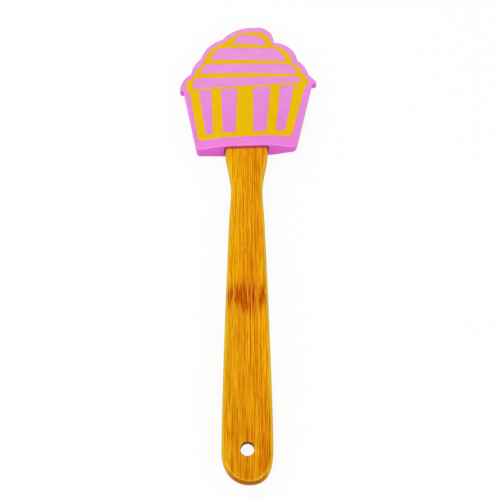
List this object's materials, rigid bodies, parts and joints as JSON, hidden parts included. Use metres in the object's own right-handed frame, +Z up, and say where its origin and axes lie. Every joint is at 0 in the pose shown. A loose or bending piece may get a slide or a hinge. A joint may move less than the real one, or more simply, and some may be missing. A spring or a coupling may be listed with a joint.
{
  "type": "silicone scraper spatula",
  "caption": "Flat bamboo handle with a hang hole and a push-on silicone scraper head shaped as a cupcake, with an inlaid line design.",
  "frame": {"origin": "bottom centre of the box round the part as it lies on its back; X = 0 is the handle's axis to within 1 mm of the box's middle", "axes": "+Y runs along the handle from its tail to the tip of the head, +Z up out of the decorated face, +X to the right seen from the front with the head up"},
  "size_m": [0.0669, 0.2235, 0.0122],
  "materials": {
    "bamboo": "sanded flat-grain bamboo under a thin clear satin lacquer",
    "pink_silicone": "moulded silicone, soft satin",
    "yellow_silicone": "second-colour silicone, flush with the face, soft satin"
  },
  "bodies": {
    "handle": {"bamboo_handle": "bamboo"},
    "head": {"silicone_head": "pink_silicone", "yellow_inlay": "yellow_silicone"}
  },
  "joints": [
    {"name": "head_pull_off", "type": "slide", "parent": "handle", "child": "head", "axis": [0, 1, 0], "range_m": [0, 0.05]}
  ]
}
